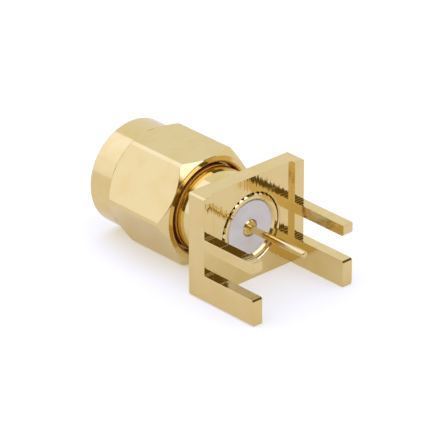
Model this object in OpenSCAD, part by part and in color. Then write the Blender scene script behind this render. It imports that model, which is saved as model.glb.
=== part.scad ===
// Coaxial plug for the edge of a printed circuit board: a threaded nut that turns freely on a
// pressed-in barrel, a square-cut flange, and four legs that straddle the board.
//
// Frame: the origin is on the plug's axis, in the plane where the two outer conductors of a
// mated pair meet (the mating plane).  -Y points to the mating part, +Y to the board, and +Z
// up from the face of the board that carries the signal track.  Millimetres.

/* [Flange and legs] */
// Width of the flange, and over the outer faces of the legs
flange_w = 9.525; // [8.8:0.025:11]
// Height of the flange
flange_h = 8.0; // [7.4:0.05:10]
// Thickness of the flange at its side strips
flange_t = 1.6; // [1.2:0.05:2.5]
// Radius of the flange's four outer corners
flange_corner_r = 0.2; // [0.05:0.05:0.4]
// Distance from the mating plane to the face that the board's edge meets
mating_to_board = 10.0; // [9.6:0.1:14]
// Depth of the shallow cut across the middle of the flange's rear face
face_cut = 0.33; // [0.1:0.01:0.5]
// Width of each leg
leg_w = 0.9; // [0.6:0.02:1.0]
// Length of each leg, from the board's edge
leg_l = 4.95; // [3:0.05:7]
// Thickness of the upper legs
upper_leg_t = 0.85; // [0.5:0.05:1.2]
// Height of the upper legs' underside above the axis
slot_top = 0.0; // [-0.1:0.01:0.3]
// Height of the slot between the upper and lower legs
slot_h = 1.97; // [1.2:0.01:2.3]
// Lead-in chamfer at the mouth of the slot
slot_lead_in = 0.13; // [0.05:0.01:0.3]

/* [Barrel] */
// Outer diameter of the front sleeve, the outer conductor
sleeve_d = 4.6; // [4.5:0.02:4.7]
// Length of the front sleeve, from the mating plane to the step that carries the gasket
sleeve_l = 1.75; // [1.6:0.05:2.0]
// Diameter of the step that carries the gasket
gasket_step_d = 5.0; // [4.92:0.02:5.1]
// Diameter of the collar in front of the ring groove
collar_d = 6.2; // [5.9:0.05:6.3]
// Diameter of the neck between the nut and the flange
neck_d = 6.5; // [6.1:0.05:6.6]
// Diameter over the teeth of the pressed-in, knurled end
knurl_d = 5.32; // [5.1:0.02:5.8]
// Number of teeth of the straight knurl
knurl_teeth = 34; // [24:1:40]
// Depth of the knurl's grooves
knurl_depth = 0.14; // [0.08:0.01:0.2]
// Share of each tooth's pitch that is left at the full diameter
knurl_crest = 0.3; // [0.1:0.05:0.5]
// How far the barrel's end lies below the cut in the flange
barrel_end_recess = 0.0; // [0:0.01:0.1]
// Chamfer of the teeth at the barrel's end
barrel_end_chamfer = 0.15; // [0.05:0.01:0.2]
// Chamfer round the insulator, on the barrel's end
barrel_bore_chamfer = 0.16; // [0.05:0.01:0.2]
// Chamfer of the flange's hole, on its rear face
flange_hole_chamfer = 0.09; // [0.04:0.01:0.15]

/* [Insulator and contact] */
// Diameter of the insulator
insulator_d = 4.16; // [4.0:0.02:4.2]
// How far the insulator's rear face lies below the barrel's end
insulator_recess = 0.12; // [0.02:0.01:0.25]
// Diameter of the contact inside the insulator
contact_d = 1.27; // [1.1:0.01:1.4]
// How far the contact's shoulder stands out of the insulator's rear face
contact_boss_h = 0.05; // [0.02:0.01:0.2]
// Chamfer of the contact's shoulder
contact_boss_chamfer = 0.15; // [0.02:0.01:0.2]
// Diameter of the mating pin
mating_pin_d = 0.92; // [0.9:0.01:0.94]
// Reach of the mating pin beyond the mating plane
mating_pin_l = 2.3; // [2:0.05:2.5]
// How far the mating pin's shoulder lies behind the mating plane
mating_pin_shoulder = 0.0; // [0:0.01:0.2]
// Length of the cone at the mating pin's tip
mating_pin_cone = 0.45; // [0.3:0.05:0.6]
// Diameter of the flat on the mating pin's tip
mating_pin_tip_d = 0.36; // [0.2:0.02:0.5]
// Diameter of the tail pin
tail_d = 0.51; // [0.4:0.01:0.6]
// Length of the tail pin, from the board's edge
tail_l = 5.15; // [3:0.05:8]
// Radius of the round at the tail pin's tip
tail_tip_r = 0.12; // [0.05:0.01:0.18]

/* [Coupling nut] */
// Distance across the nut's flats
nut_af = 8.0; // [7.9:0.01:8.3]
// Diameter over the turned corners of the hexagon
nut_corner_d = 9.06; // [8.7:0.02:9.2]
// Diameter of the plain round front of the nut
nut_front_d = 7.98; // [7.7:0.02:7.98]
// Diameter of the nut's flat rear face
nut_rear_d = 7.95; // [7.5:0.05:7.95]
// Length of the nut
nut_l = 8.45; // [8:0.05:9]
// Length of the plain round front
nut_front_l = 2.15; // [1.5:0.05:3]
// Reach of the nut's front beyond the mating plane
nut_reach = 3.0; // [2.7:0.05:3.4]
// Angle of the nut's conical shoulders, from its axis
nut_shoulder_angle = 45; // [35:1:55]
// Chamfer round the nut's front edge
nut_edge_chamfer = 0.06; // [0.03:0.01:0.25]
// Diameter of the hole at the crests of the thread, 1/4-36
thread_minor_d = 5.68; // [5.59:0.01:5.74]
// Length of the threaded stretch
thread_l = 4.0; // [3.5:0.1:4.4]
// Diameter at the mouth of the lead-in chamfer
thread_mouth_d = 6.5; // [6.35:0.05:6.7]
// Chamfer at the mouth of the nut's rear hole
nut_rear_chamfer = 0.2; // [0.05:0.01:0.25]

/* [Retaining ring] */
// Thickness of the ring along the axis
ring_t = 0.5; // [0.4:0.05:0.6]
// Radial width of the ring
ring_w = 0.64; // [0.6:0.02:0.7]
// Depth of the groove in the barrel's neck
ring_groove_depth = 0.34; // [0.3:0.02:0.4]
// Thickness of the nut's lip behind the ring
nut_lip_t = 0.6; // [0.5:0.05:1]
// Width of the split in the ring
ring_split = 0.9; // [0.5:0.1:1.5]

/* [Gasket] */
// Thickness of the gasket, and length of the step under it
gasket_t = 0.85; // [0.6:0.05:1]
// Radial width of the gasket
gasket_w = 0.5; // [0.4:0.02:0.54]

/* [Clearances] */
// Radial clearance between the neck and the nut's lip
lip_clearance = 0.17; // [0.05:0.01:0.2]
// Clearance of the ring in its grooves
ring_clearance = 0.08; // [0.04:0.01:0.1]
// Radial clearance of the collar and the gasket inside the nut, behind its thread
relief_clearance = 0.18; // [0.1:0.01:0.25]
// Radial clearance of the gasket on its step
gasket_clearance = 0.03; // [0.01:0.01:0.05]
// Radial clearance of the knurl, the insulator and the contact in their holes
seat_clearance = 0.02; // [0.01:0.01:0.03]

/* [Hidden] */
eps = 0.5; // how far a cutting shape runs past the solid it cuts

// Stations along the axis, from the mating plane
flange_front_y = mating_to_board - flange_t;
cut_face_y = mating_to_board - face_cut;
gasket_seat_y = sleeve_l + gasket_t;
barrel_end_y = cut_face_y - barrel_end_recess;
insulator_end_y = barrel_end_y - insulator_recess;
contact_end_y = insulator_end_y + contact_boss_h;
nut_rear_y = nut_l - nut_reach;
nut_front_y = -nut_reach;
thread_end_y = nut_front_y + thread_l;
nut_groove_rear_y = nut_rear_y - nut_lip_t;
ring_rear_y = nut_groove_rear_y - ring_clearance;
ring_front_y = ring_rear_y - ring_t;
nut_groove_front_y = ring_front_y - ring_clearance;

// Radii that follow from the fits
neck_r = neck_d / 2;
knurl_r = knurl_d / 2;
flange_hole_r = knurl_r + seat_clearance;
barrel_bore_r = insulator_d / 2 + seat_clearance;
gasket_inner_r = gasket_step_d / 2 + gasket_clearance;
gasket_outer_r = gasket_inner_r + gasket_w;
nut_relief_r = max(collar_d / 2, gasket_outer_r) + relief_clearance;
barrel_groove_r = neck_r - ring_groove_depth;
ring_inner_r = barrel_groove_r + ring_clearance / 2;
ring_outer_r = ring_inner_r + ring_w;
nut_groove_r = ring_outer_r + ring_clearance;
nut_lip_r = neck_r + lip_clearance;

// The slot between the legs
slot_bottom = slot_top - slot_h;
leg_end_y = mating_to_board + leg_l;
leg_inner_x = flange_w / 2 - leg_w;

gold = [0.86, 0.72, 0.42];
ring_gold = [0.78, 0.62, 0.32];
ptfe_white = [0.93, 0.93, 0.92];
silicone_red = [0.72, 0.30, 0.20];

// Turns an outline of [radius, distance along the axis] points about the plug's axis
module turned(points) {
    rotate([-90, 0, 0])
        rotate_extrude($fn = 96)
            polygon(points);
}

// A plate from y0 to y1 with round corners, seen along the axis
module corner_plate(w, h, r, y0, y1) {
    translate([0, y1, 0])
        rotate([90, 0, 0])
            linear_extrude(y1 - y0)
                union() {
                    square([w - 2 * r, h], center = true);
                    square([w, h - 2 * r], center = true);
                    for (sx = [-1, 1], sz = [-1, 1])
                        translate([sx * (w / 2 - r), sz * (h / 2 - r)])
                            circle(r, $fn = 32);
                }
}

// Outline of one pair of legs, [distance along the axis, height], drawn as one comb from the
// flange's height, with the board slot and its lead-in chamfers cut out of it
module leg_pair_outline() {
    lead = slot_lead_in;
    polygon([
        [flange_front_y, -flange_h / 2],
        [leg_end_y, -flange_h / 2],
        [leg_end_y, slot_bottom - lead],
        [leg_end_y - lead, slot_bottom],
        [mating_to_board, slot_bottom],
        [mating_to_board, slot_top],
        [leg_end_y - lead, slot_top],
        [leg_end_y, slot_top + lead],
        [leg_end_y, slot_top + upper_leg_t],
        [mating_to_board, slot_top + upper_leg_t],
        [mating_to_board, flange_h / 2],
        [flange_front_y, flange_h / 2],
    ]);
}

// The flange with its side strips and legs, milled from one block
module flange() {
    color(gold)
        difference() {
            intersection() {
                corner_plate(flange_w, flange_h, flange_corner_r, flange_front_y, leg_end_y);
                union() {
                    corner_plate(flange_w, flange_h, flange_corner_r, flange_front_y, cut_face_y);
                    for (side = [-1, 1])
                        translate([side * (leg_inner_x + leg_w / 2) - leg_w / 2, 0, 0])
                            rotate([90, 0, 90])
                                linear_extrude(leg_w)
                                    leg_pair_outline();
                }
            }
            turned([
                [0, flange_front_y - eps],
                [flange_hole_r, flange_front_y - eps],
                [flange_hole_r, cut_face_y - flange_hole_chamfer],
                [flange_hole_r + flange_hole_chamfer, cut_face_y],
                [flange_hole_r + flange_hole_chamfer, mating_to_board + eps],
                [0, mating_to_board + eps],
            ]);
        }
}

// One groove of the straight knurl, a V cut along the pressed-in end
module knurl_groove() {
    mouth_angle = 360 / knurl_teeth * (1 - knurl_crest); // half angle, twice as deep as the groove
    mouth_r = knurl_r + knurl_depth;
    rotate([-90, 0, 0])
        translate([0, 0, flange_front_y])
            linear_extrude(flange_t)
                polygon([
                    [knurl_r - knurl_depth, 0],
                    [mouth_r * cos(mouth_angle), mouth_r * sin(mouth_angle)],
                    [mouth_r * cos(mouth_angle), -mouth_r * sin(mouth_angle)],
                ]);
}

// The barrel: front sleeve, gasket seat, ring groove, neck and knurled end
module barrel() {
    color(gold)
        difference() {
            turned([
                [barrel_bore_r, 0],
                [sleeve_d / 2, 0],
                [sleeve_d / 2, sleeve_l],
                [gasket_step_d / 2, sleeve_l],
                [gasket_step_d / 2, gasket_seat_y],
                [collar_d / 2, gasket_seat_y],
                [collar_d / 2, nut_groove_front_y],
                [barrel_groove_r, nut_groove_front_y],
                [barrel_groove_r, nut_groove_rear_y],
                [neck_r, nut_groove_rear_y],
                [neck_r, flange_front_y],
                [knurl_r, flange_front_y],
                [knurl_r, barrel_end_y - barrel_end_chamfer],
                [knurl_r - barrel_end_chamfer, barrel_end_y],
                [barrel_bore_r + barrel_bore_chamfer, barrel_end_y],
                [barrel_bore_r, barrel_end_y - barrel_bore_chamfer],
            ]);
            for (i = [0 : knurl_teeth - 1])
                rotate([0, i * 360 / knurl_teeth, 0])
                    knurl_groove();
        }
}

// The insulator, a plain tube between the barrel and the contact
module insulator() {
    hole_r = contact_d / 2 + seat_clearance;
    color(ptfe_white)
        turned([
            [hole_r, 0],
            [insulator_d / 2, 0],
            [insulator_d / 2, insulator_end_y],
            [hole_r, insulator_end_y],
        ]);
}

// The contact: mating pin with its coned tip, body, rear shoulder and tail pin
module contact() {
    tail_end_y = mating_to_board + tail_l;
    color(gold) {
        turned([
            [0, -mating_pin_l],
            [mating_pin_tip_d / 2, -mating_pin_l],
            [mating_pin_d / 2, mating_pin_cone - mating_pin_l],
            [mating_pin_d / 2, mating_pin_shoulder],
            [contact_d / 2, mating_pin_shoulder],
            [contact_d / 2, contact_end_y - contact_boss_chamfer],
            [contact_d / 2 - contact_boss_chamfer, contact_end_y],
            [tail_d / 2, contact_end_y],
            [tail_d / 2, tail_end_y - tail_tip_r],
            for (a = [15 : 15 : 90])
                [tail_d / 2 - tail_tip_r * (1 - cos(a)), tail_end_y - tail_tip_r * (1 - sin(a))],
            [0, tail_end_y],
        ]);
    }
}

// The sealing gasket, on its step and against the barrel's collar
module gasket() {
    color(silicone_red)
        turned([
            [gasket_inner_r, sleeve_l],
            [gasket_outer_r, sleeve_l],
            [gasket_outer_r, gasket_seat_y],
            [gasket_inner_r, gasket_seat_y],
        ]);
}

// The split ring that holds the nut on the barrel and lets it turn
module retaining_ring() {
    color(ring_gold)
        difference() {
            turned([
                [ring_inner_r, ring_front_y],
                [ring_outer_r, ring_front_y],
                [ring_outer_r, ring_rear_y],
                [ring_inner_r, ring_rear_y],
            ]);
            translate([-ring_split / 2, ring_front_y - eps, -ring_outer_r - eps])
                cube([ring_split, ring_t + 2 * eps, ring_outer_r + eps]);
        }
}

// The coupling nut: a hexagon turned down at its front, with conical shoulders
module coupling_nut() {
    corner_r = nut_corner_d / 2;
    run = tan(90 - nut_shoulder_angle); // axial run of a shoulder for each unit of radius
    front_r = nut_front_d / 2;
    rear_r = nut_rear_d / 2;
    shoulder_y = nut_front_y + nut_front_l;
    color(gold)
        difference() {
            intersection() {
                turned([
                    [0, nut_front_y],
                    [front_r - nut_edge_chamfer, nut_front_y],
                    [front_r, nut_front_y + nut_edge_chamfer],
                    [front_r, shoulder_y],
                    [corner_r, shoulder_y + (corner_r - front_r) * run],
                    [corner_r, nut_rear_y - (corner_r - rear_r) * run],
                    [rear_r, nut_rear_y],
                    [0, nut_rear_y],
                ]);
                translate([0, nut_front_y - eps, 0])
                    rotate([-90, 0, 0])
                        cylinder(h = nut_l + 2 * eps, d = nut_af / cos(30), $fn = 6);
            }
            turned([
                [0, nut_front_y - eps],
                [thread_mouth_d / 2, nut_front_y - eps],
                [thread_mouth_d / 2, nut_front_y],
                [thread_minor_d / 2, nut_front_y + (thread_mouth_d - thread_minor_d) / 2],
                [thread_minor_d / 2, thread_end_y],
                [nut_relief_r, thread_end_y],
                [nut_relief_r, nut_groove_front_y],
                [nut_groove_r, nut_groove_front_y],
                [nut_groove_r, nut_groove_rear_y],
                [nut_lip_r, nut_groove_rear_y],
                [nut_lip_r, nut_rear_y - nut_rear_chamfer],
                [nut_lip_r + nut_rear_chamfer, nut_rear_y],
                [nut_lip_r + nut_rear_chamfer, nut_rear_y + eps],
                [0, nut_rear_y + eps],
            ]);
        }
}

flange();
barrel();
insulator();
contact();
gasket();
retaining_ring();
coupling_nut();
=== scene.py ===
import math

import bmesh
import bpy
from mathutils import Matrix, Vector


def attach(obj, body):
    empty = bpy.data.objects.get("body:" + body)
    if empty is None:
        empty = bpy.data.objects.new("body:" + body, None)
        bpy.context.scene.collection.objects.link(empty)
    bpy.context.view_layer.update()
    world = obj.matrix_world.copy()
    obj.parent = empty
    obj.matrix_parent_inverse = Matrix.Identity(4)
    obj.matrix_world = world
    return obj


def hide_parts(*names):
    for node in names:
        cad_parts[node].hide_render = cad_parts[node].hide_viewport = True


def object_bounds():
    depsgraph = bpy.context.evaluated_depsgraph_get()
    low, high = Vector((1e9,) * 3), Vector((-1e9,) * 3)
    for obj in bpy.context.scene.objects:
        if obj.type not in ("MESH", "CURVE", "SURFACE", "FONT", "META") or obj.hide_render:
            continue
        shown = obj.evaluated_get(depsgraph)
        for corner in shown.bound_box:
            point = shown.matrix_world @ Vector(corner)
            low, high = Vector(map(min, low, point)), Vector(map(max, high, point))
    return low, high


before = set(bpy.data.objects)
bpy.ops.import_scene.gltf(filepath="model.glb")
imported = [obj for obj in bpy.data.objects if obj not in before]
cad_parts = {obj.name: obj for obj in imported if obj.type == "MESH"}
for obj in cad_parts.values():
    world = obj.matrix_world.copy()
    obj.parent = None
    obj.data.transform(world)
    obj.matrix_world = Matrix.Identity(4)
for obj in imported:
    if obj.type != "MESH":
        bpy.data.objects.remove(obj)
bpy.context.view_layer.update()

MM = 0.001

# ---------------------------------------------------------------- sizes, in millimetres and degrees
# rounding of edges
EDGE_RADIUS = 0.035         # nut, insulator and retaining ring
MILLED_EDGE_RADIUS = 0.022  # flange
TURNED_EDGE_RADIUS = 0.03   # contact
KNURL_EDGE_RADIUS = 0.012   # barrel, with its fine knurl
SOFT_EDGE_RADIUS = 0.14     # gasket

WELD = 0.0005               # corners closer than this are one corner
SAME_PLACE = 0.001          # points closer than this lie in one plane
EDGE_ANGLE = 20             # a sharper bend is an edge and is rounded
FLAT_ANGLE = 0.5            # faces that bend less are one face

# the nut's 1/4-36 thread
THREAD_PITCH = 25.4 / 36
THREAD_CREST_R = 2.84       # the plain hole of the CAD nut
THREAD_ROOT_R = 3.175
THREAD_HOLE_LIMIT_R = 3.3   # the CAD hole's wall and its chamfer lie within this radius
THREAD_FLANK_FOOT = 0.4375  # pitches from a root's middle to the crest's edge, in the sharp form
THREAD_FLANK_WIDTH = 0.375  # pitches that a flank takes up
THREAD_ROOT_GAIN = 0.06     # share of the full depth that is added, to widen the root
THREAD_COLUMNS = 144        # round the hole
THREAD_ROWS_PER_TURN = 20

# painted reflection and painted shade on the matt plate in the slot between the nut's lip and the
# neck, from the nut's rear face
SLOT_FRONT = (-0.65, -0.60)     # no painted shade in front of this
SLOT_DEPTHS = (-0.32, 0.12)     # from the darkest place to none
SLOT_OUTER_R = (3.5, 3.55)      # no painted shade outside this

FLOOR_SIZE = 1200.0


# ---------------------------------------------------------------- node trees
class Nodes:
    """Short calls that add nodes to one node tree and link them."""

    def __init__(self, tree):
        self.tree = tree

    def add(self, kind, **settings):
        node = self.tree.nodes.new(kind)
        for name, value in settings.items():
            setattr(node, name, value)
        return node

    def feed(self, socket, value):
        if isinstance(value, bpy.types.NodeSocket):
            self.tree.links.new(value, socket)
        else:
            socket.default_value = value

    def math(self, operation, a, b=0.0):
        node = self.add("ShaderNodeMath", operation=operation)
        self.feed(node.inputs[0], a)
        self.feed(node.inputs[1], b)
        return node.outputs[0]

    def plus(self, a, b):
        return self.math("ADD", a, b)

    def times(self, a, b):
        return self.math("MULTIPLY", a, b)

    def over(self, a, b):
        return self.math("DIVIDE", a, b)

    def step(self, value, low, high, bottom=0.0, top=1.0):
        """A smooth rise from bottom to top as value goes from low to high."""
        node = self.add("ShaderNodeMapRange", interpolation_type="SMOOTHSTEP")
        self.feed(node.inputs["Value"], value)
        self.feed(node.inputs["From Min"], low)
        self.feed(node.inputs["From Max"], high)
        self.feed(node.inputs["To Min"], bottom)
        self.feed(node.inputs["To Max"], top)
        return node.outputs[0]

    def parts(self, vector):
        node = self.add("ShaderNodeSeparateXYZ")
        self.feed(node.inputs[0], vector)
        return node.outputs

    def noise(self, vector, stretch, size, detail=3.0):
        """Noise with spots about size millimetres wide, drawn out by the stretch along X, Y, Z."""
        mapping = self.add("ShaderNodeMapping")
        self.feed(mapping.inputs["Vector"], vector)
        mapping.inputs["Scale"].default_value = [1 / (size * MM * s) for s in stretch]
        node = self.add("ShaderNodeTexNoise")
        self.feed(node.inputs["Vector"], mapping.outputs[0])
        node.inputs["Scale"].default_value = 1.0
        node.inputs["Detail"].default_value = detail
        return node.outputs["Fac"]

    def mix(self, factor, a, b):
        """Goes from number a to number b with factor."""
        node = self.add("ShaderNodeMix", data_type="FLOAT")
        self.feed(node.inputs[0], factor)
        self.feed(node.inputs[2], a)
        self.feed(node.inputs[3], b)
        return node.outputs[0]

    def blend(self, factor, a, b):
        """Goes from colour a to colour b with factor."""
        node = self.add("ShaderNodeMix", data_type="RGBA")
        self.feed(node.inputs[0], factor)
        self.feed(node.inputs[6], a)
        self.feed(node.inputs[7], b)
        return node.outputs[2]

    def bump(self, height, depth, normal=None):
        """A bump whose height runs over depth millimetres."""
        node = self.add("ShaderNodeBump")
        node.inputs["Strength"].default_value = 1.0
        node.inputs["Distance"].default_value = depth * MM
        self.feed(node.inputs["Height"], height)
        if normal is not None:
            self.feed(node.inputs["Normal"], normal)
        return node.outputs[0]


def new_material(name):
    """A material with one Principled shader: itself, its nodes and the shader's inputs."""
    material = bpy.data.materials.new(name)
    material.use_nodes = True
    material.node_tree.nodes.clear()
    nodes = Nodes(material.node_tree)
    output = nodes.add("ShaderNodeOutputMaterial")
    shader = nodes.add("ShaderNodeBsdfPrincipled")
    nodes.tree.links.new(shader.outputs["BSDF"], output.inputs["Surface"])
    return material, nodes, shader.inputs


# ---------------------------------------------------------------- materials
GOLD = (0.82, 0.65, 0.28, 1)
GOLD_WARM = (0.80, 0.61, 0.23, 1)
# painted colours for the slot behind the nut: orange is a painted reflection, brown is painted
# shade
ORANGE_PAINTED_REFLECTION = (0.98, 0.60, 0.06, 1)
BROWN_PAINTED_SHADE = (0.36, 0.12, 0.02, 1)


def plated_gold(name, lines, roughness, line_depth, slot_shade=None):
    """Gold plate.  lines gives the tool marks' height and scuffs from the nodes, the place and the
    normal, and the slot shade, if given, goes from 0 to 1 where the plate turns matt and is
    painted: orange as a painted reflection at the slot's mouth, then brown as painted shade deeper
    in."""
    material, nodes, shader = new_material(name)
    place = nodes.add("ShaderNodeTexCoord")
    at, normal = place.outputs["Object"], place.outputs["Normal"]
    clouds = nodes.noise(at, (1, 1, 1), 1.6)
    grain = nodes.noise(at, (1, 1, 1), 0.22)
    colour = nodes.blend(nodes.step(clouds, 0.4, 0.75), GOLD, GOLD_WARM)
    height, scuffs = lines(nodes, at, normal)
    rough = nodes.plus(nodes.step(grain, 0.35, 0.7, *roughness), nodes.times(scuffs, 0.35))
    metal = 1.0
    # painted shade: in the slot the plate goes matt, and its colour is painted orange (painted
    # reflection) turning brown (painted shade) with depth
    if slot_shade is not None:
        depth = slot_shade(nodes, at)
        matt = nodes.step(depth, 0.0, 0.25)
        shade = nodes.blend(nodes.step(depth, 0.45, 0.75), ORANGE_PAINTED_REFLECTION, BROWN_PAINTED_SHADE)
        colour = nodes.blend(matt, colour, shade)
        rough = nodes.plus(rough, nodes.times(matt, 0.3))
        metal = nodes.math("SUBTRACT", 1.0, nodes.times(matt, 0.85))
        nodes.feed(shader["Specular IOR Level"], nodes.mix(matt, 0.5, 0.0))
    nodes.feed(shader["Base Color"], colour)
    nodes.feed(shader["Roughness"], rough)
    nodes.feed(shader["Metallic"], metal)
    peel = nodes.bump(nodes.noise(at, (1, 1, 1), 0.5, 1.0), 0.0008)
    nodes.feed(shader["Normal"], nodes.bump(height, line_depth, peel))
    return material


def milled_lines(nodes, at, normal):
    """Straight marks: upright on the faces square to the axis, and across the legs on their
    flats, with a few scuffed ones.  The sides are a little matt."""
    nx, ny, nz = nodes.parts(normal)

    def faces(part):
        return nodes.step(nodes.math("ABSOLUTE", part), 0.9, 0.95)

    upright = nodes.noise(at, (1, 40, 40), 0.22, 2.0)
    across = nodes.noise(at, (40, 1, 40), 0.22, 2.0)
    along = nodes.noise(at, (40, 40, 1), 0.2, 2.0)
    on_ends = nodes.times(faces(ny), upright)
    on_tops = nodes.times(faces(nz), across)
    on_sides = nodes.times(faces(nx), nodes.times(along, 0.4))
    scuffs = nodes.times(faces(nz), nodes.step(across, 0.6, 0.66))
    height = nodes.plus(nodes.plus(on_ends, on_tops), on_sides)
    return height, nodes.plus(scuffs, nodes.times(faces(nx), 0.25))


def axis_distance(nodes, at):
    """Distance from the plug's axis."""
    x, y, z = nodes.parts(at)
    return nodes.math("SQRT", nodes.plus(nodes.times(x, x), nodes.times(z, z)))


def lathe_rings(nodes, at):
    """Fine rings round the axis, as a lathe leaves them."""
    rings = nodes.add("ShaderNodeCombineXYZ")
    nodes.feed(rings.inputs[0], axis_distance(nodes, at))
    nodes.feed(rings.inputs[1], nodes.parts(at)[1])
    return nodes.noise(rings.outputs[0], (1, 1, 1), 0.07, 2.0)


def turned_lines(nodes, at, normal):
    """Lathe rings on every side, with no scuffs."""
    return lathe_rings(nodes, at), 0.0


def slot_painted_shade(nut_rear_y):
    """The painted shade's depth in the slot between the nut's lip and the neck."""

    def depth(nodes, at):
        y = nodes.parts(at)[1]
        front, start = [nut_rear_y + place * MM for place in SLOT_FRONT]
        darkest, end = [nut_rear_y + place * MM for place in SLOT_DEPTHS]
        inner, outer = [r * MM for r in SLOT_OUTER_R]
        on_lip = nodes.times(nodes.step(y, front, start), nodes.step(y, darkest, end, 1.0, 0.0))
        return nodes.times(on_lip, nodes.step(axis_distance(nodes, at), inner, outer, 1.0, 0.0))

    return depth


def insulator_white():
    material, nodes, shader = new_material("fluoropolymer_white")
    at = nodes.add("ShaderNodeTexCoord").outputs["Object"]
    clouds = nodes.noise(at, (1, 1, 1), 0.9)
    pale, grey = (0.97, 0.92, 0.76, 1), (0.92, 0.86, 0.70, 1)
    nodes.feed(shader["Base Color"], nodes.blend(nodes.step(clouds, 0.3, 0.7), pale, grey))
    nodes.feed(shader["Roughness"], nodes.step(clouds, 0.3, 0.7, 0.38, 0.5))
    shader["Subsurface Weight"].default_value = 0.15
    shader["Subsurface Scale"].default_value = 0.3 * MM
    nodes.feed(shader["Normal"], nodes.bump(lathe_rings(nodes, at), 0.002))
    return material


def silicone_red():
    material, nodes, shader = new_material("silicone_red")
    at = nodes.add("ShaderNodeTexCoord").outputs["Object"]
    clouds = nodes.noise(at, (1, 1, 1), 0.6)
    dust = nodes.noise(at, (1, 1, 1), 0.08)
    red, brick = (0.46, 0.055, 0.025, 1), (0.36, 0.05, 0.03, 1)
    nodes.feed(shader["Base Color"], nodes.blend(nodes.step(clouds, 0.3, 0.7), red, brick))
    nodes.feed(shader["Roughness"], nodes.step(dust, 0.3, 0.7, 0.42, 0.6))
    nodes.feed(shader["Normal"], nodes.bump(dust, 0.004))
    return material


def spring_metal():
    material, nodes, shader = new_material("ring_bronze")
    at = nodes.add("ShaderNodeTexCoord").outputs["Object"]
    clouds = nodes.noise(at, (1, 1, 1), 0.5)
    light, dark = (0.80, 0.60, 0.32, 1), (0.66, 0.44, 0.22, 1)
    shader["Metallic"].default_value = 1.0
    nodes.feed(shader["Base Color"], nodes.blend(nodes.step(clouds, 0.3, 0.7), light, dark))
    nodes.feed(shader["Roughness"], nodes.step(clouds, 0.3, 0.7, 0.2, 0.34))
    nodes.feed(shader["Normal"], nodes.bump(lathe_rings(nodes, at), 0.002))
    return material


# ---------------------------------------------------------------- pieces
def carried(node):
    """A CAD node's surface as one closed mesh with shared corners and whole flat faces."""
    bm = bmesh.new()
    bm.from_mesh(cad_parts[node].data)
    bmesh.ops.remove_doubles(bm, verts=bm.verts, dist=WELD * MM)
    flat = math.radians(FLAT_ANGLE)
    bmesh.ops.dissolve_limit(bm, angle_limit=flat, verts=bm.verts, edges=bm.edges)
    return bm


def piece(name, bm, node, body, material, edge_radius, segments=2):
    """Turns a mesh into a piece that stands for a CAD node, with its edges rounded.  The flat
    faces keep their own normals, and the small ones too, so that each mirrors as a flat."""
    bmesh.ops.recalc_face_normals(bm, faces=bm.faces)
    for face in bm.faces:
        face.smooth = True
    mesh = bpy.data.meshes.new(name)
    bm.to_mesh(mesh)
    bm.free()
    mesh.materials.append(material)
    obj = bpy.data.objects.new(name, mesh)
    bpy.context.scene.collection.objects.link(obj)
    bevel = obj.modifiers.new("edges", "BEVEL")
    bevel.width = edge_radius * MM
    bevel.segments = segments
    bevel.limit_method = "ANGLE"
    bevel.angle_limit = math.radians(EDGE_ANGLE)
    bevel.use_clamp_overlap = False
    bevel.face_strength_mode = "FSTR_ALL"
    weighted = obj.modifiers.new("flat_faces", "WEIGHTED_NORMAL")
    weighted.mode = "CORNER_ANGLE"
    weighted.use_face_influence = True
    weighted.keep_sharp = False
    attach(obj, body)
    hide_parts(node)
    return obj


def radius_of(point):
    """A point's distance from the plug's axis, in millimetres."""
    return math.hypot(point.x, point.z) / MM


def thread_profile(turn):
    """Depth of the thread, 0 at its crest and 1 at its root, by place within one pitch."""
    from_root = abs(turn - 0.5)
    up_flank = (THREAD_FLANK_FOOT - from_root) / THREAD_FLANK_WIDTH
    return min(1.0, max(0.0, up_flank + THREAD_ROOT_GAIN))


def thread_radius(y, column):
    """Radius of the threaded hole at a place along the axis, in one column of points."""
    turn = (y / THREAD_PITCH + column / THREAD_COLUMNS) % 1
    depth = (THREAD_ROOT_R - THREAD_CREST_R) * thread_profile(turn)
    return THREAD_CREST_R + depth


def ring_of_points(bm, y, radii):
    """One point for each column of the thread, round the axis."""
    ring = []
    for column, r in enumerate(radii):
        angle = 2 * math.pi * column / THREAD_COLUMNS
        ring.append(bm.verts.new(Vector((r * math.cos(angle), y, r * math.sin(angle))) * MM))
    return ring


def add_thread(bm, front_y, rear_y, mouth_r, relief_r):
    """The inside of the nut's hole: a right-hand thread with its lead-in chamfer."""
    length = rear_y - front_y
    rows = round(length / THREAD_PITCH * THREAD_ROWS_PER_TURN)
    columns = range(THREAD_COLUMNS)
    rings = []
    for row in range(rows + 1):
        y = front_y + length * row / rows
        lead_in = mouth_r - (y - front_y)
        radii = [max(thread_radius(y, column), lead_in) for column in columns]
        rings.append(ring_of_points(bm, y, radii))
    rings.append(ring_of_points(bm, rear_y, [relief_r] * THREAD_COLUMNS))
    for a, b in zip(rings, rings[1:]):
        for i in columns:
            j = (i + 1) % THREAD_COLUMNS
            bm.faces.new((a[i], a[j], b[j], b[i]))


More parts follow.
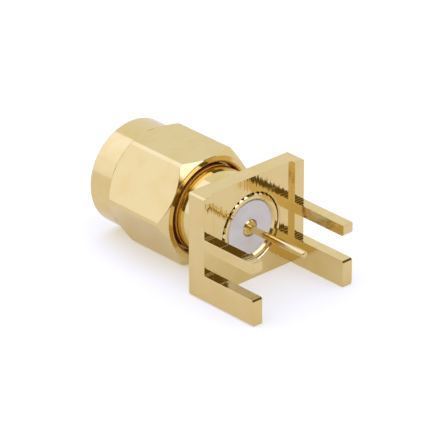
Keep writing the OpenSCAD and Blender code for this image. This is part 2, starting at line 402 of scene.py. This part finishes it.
def coupling_nut(material):
    """The nut, its plain front hole exchanged for a real thread."""
    bm = carried("coupling_nut")
    front_y = min(v.co.y for v in bm.verts) / MM
    hole = [f for f in bm.faces if max(radius_of(v.co) for v in f.verts) < THREAD_HOLE_LIMIT_R]
    wall = [f for f in hole if min(v.co.y for v in f.verts) < 0]
    rear_y = max(v.co.y for f in wall for v in f.verts) / MM
    shoulder = [f for f in hole if f not in wall
                and max(v.co.y for v in f.verts) / MM < rear_y + SAME_PLACE]
    mouth = [v for f in wall for v in f.verts if v.co.y / MM < front_y + SAME_PLACE]
    mouth_r = max(radius_of(v.co) for v in mouth)
    relief_r = max(radius_of(v.co) for f in shoulder for v in f.verts)
    bmesh.ops.delete(bm, geom=wall + shoulder, context="FACES")
    add_thread(bm, front_y, rear_y, mouth_r, relief_r)
    return piece("nut_shell", bm, "coupling_nut", "nut", material, EDGE_RADIUS)


def build_pieces():
    # painted reflection and painted shade in the slot behind the nut, on the nut and the barrel
    slot_shade = slot_painted_shade(max(v.co.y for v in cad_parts["coupling_nut"].data.vertices))
    nut_gold = plated_gold("gold_nut", turned_lines, (0.06, 0.13), 0.0003, slot_shade)
    body_gold = plated_gold("gold_flange", milled_lines, (0.04, 0.09), 0.013)
    barrel_gold = plated_gold("gold_barrel", turned_lines, (0.05, 0.11), 0.0003, slot_shade)
    contact_gold = plated_gold("gold_contact", turned_lines, (0.13, 0.2), 0.0003)
    coupling_nut(nut_gold)
    piece("flange_block", carried("flange"), "flange", "plug_body",
          body_gold, MILLED_EDGE_RADIUS)
    piece("barrel_tube", carried("barrel"), "barrel", "plug_body",
          barrel_gold, KNURL_EDGE_RADIUS)
    piece("contact_pin", carried("contact"), "contact", "plug_body",
          contact_gold, TURNED_EDGE_RADIUS)
    piece("insulator_tube", carried("insulator"), "insulator", "plug_body",
          insulator_white(), EDGE_RADIUS)
    piece("gasket_ring", carried("gasket"), "gasket", "plug_body",
          silicone_red(), SOFT_EDGE_RADIUS, 4)
    piece("split_ring", carried("retaining_ring"), "retaining_ring", "plug_body",
          spring_metal(), EDGE_RADIUS)


# ---------------------------------------------------------------- floor, studio, camera
def add_floor():
    """A plain floor under the part, white to the camera and pale grey in reflections."""
    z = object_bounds()[0][2]
    half = FLOOR_SIZE * MM / 2
    mesh = bpy.data.meshes.new("floor")
    corners = [(-half, -half, z), (half, -half, z), (half, half, z), (-half, half, z)]
    mesh.from_pydata(corners, [], [(0, 1, 2, 3)])
    floor = bpy.data.objects.new("floor", mesh)
    bpy.context.scene.collection.objects.link(floor)
    material, nodes, shader = new_material("floor_white")
    rays = nodes.add("ShaderNodeLightPath").outputs
    camera, mirror = rays["Is Camera Ray"], rays["Is Glossy Ray"]
    seen, pale, mirrored = (0.66, 0.70, 0.68, 1), (0.9, 0.9, 0.9, 1), (0.50, 0.50, 0.53, 1)
    colour = nodes.blend(mirror, nodes.blend(camera, pale, seen), mirrored)
    nodes.feed(shader["Base Color"], colour)
    shader["Emission Color"].default_value = (1.0, 0.91, 0.73, 1)
    glow = nodes.plus(nodes.times(camera, 0.42), nodes.times(mirror, 0.37))
    nodes.feed(shader["Emission Strength"], glow)
    shader["Roughness"].default_value = 0.9
    shader["Specular IOR Level"].default_value = 0.0
    mesh.materials.append(material)


def add_studio():
    """A pale room with one long soft light overhead and a darker side behind the camera."""
    world = bpy.data.worlds.new("studio")
    bpy.context.scene.world = world
    world.use_nodes = True
    world.node_tree.nodes.clear()
    nodes = Nodes(world.node_tree)
    x, y, z = nodes.parts(nodes.add("ShaderNodeTexCoord").outputs["Generated"])
    height = nodes.math("MAXIMUM", z, 0.02)
    u, v = nodes.over(x, height), nodes.over(y, height)
    # room walls, dark on the board's side
    slant = nodes.plus(v, nodes.times(u, 1.2))
    dark = nodes.times(nodes.step(v, 0.3, 0.5), nodes.step(slant, -0.9, -0.65))
    room = nodes.mix(dark, 0.88, 0.11)
    # pale fill on the side of the mid flat
    fill = nodes.times(nodes.step(x, 0.15, 0.6, 0.0, 0.2), nodes.step(y, -0.5, 0.0, 1.0, 0.0))
    fill = nodes.times(fill, nodes.step(z, -0.2, 0.2))
    # long light overhead, with a sharp edge on one side
    across = nodes.plus(nodes.plus(u, nodes.times(v, 0.33)), -0.12)
    light = nodes.times(nodes.step(across, -0.55, -0.51), nodes.step(across, 0.5, 1.0, 1.0, 0.0))
    light = nodes.times(light, nodes.step(v, 1.15, 1.4, 1.0, 0.0))
    light = nodes.times(light, nodes.step(v, -2.4, -1.2))
    strength = nodes.step(v, -1.5, 1.0, 1.2, 1.6)
    level = nodes.mix(light, nodes.plus(room, fill), strength)
    rays = nodes.add("ShaderNodeLightPath").outputs
    camera = rays["Is Camera Ray"]
    background = nodes.add("ShaderNodeBackground")
    plain, brown = (0.98, 1.0, 1.12, 1), (1.3, 1.0, 0.5, 1)
    pale_blue, blue = (0.98, 1.0, 1.34, 1), (0.95, 1.0, 1.5, 1)
    walls = nodes.blend(dark, nodes.blend(nodes.step(x, -0.2, 0.3), plain, pale_blue), brown)
    tint = nodes.blend(light, walls, blue)
    nodes.feed(background.inputs["Color"], nodes.blend(camera, tint, (1, 1, 1, 1)))
    nodes.feed(background.inputs["Strength"], nodes.mix(camera, level, 1.0))
    output = nodes.add("ShaderNodeOutputWorld")
    nodes.tree.links.new(background.outputs[0], output.inputs["Surface"])


CAMERA_PLACE = Vector((160.74, 181.67, 120.33)) * MM
CAMERA_LOOK = Vector((-0.60280, -0.65641, -0.45360))
CAMERA_LENS = 306.07     # long lens, for a 36 mm wide sensor


def add_camera():
    data = bpy.data.cameras.new("camera")
    data.sensor_width = 36.0
    data.lens = CAMERA_LENS
    data.clip_start = 0.001
    data.clip_end = 10.0
    camera = bpy.data.objects.new("camera", data)
    bpy.context.scene.collection.objects.link(camera)
    camera.rotation_euler = CAMERA_LOOK.to_track_quat("-Z", "Y").to_euler()
    camera.location = CAMERA_PLACE
    bpy.context.scene.camera = camera


build_pieces()
add_floor()
add_studio()
add_camera()
bpy.context.scene.view_settings.view_transform = "Standard"
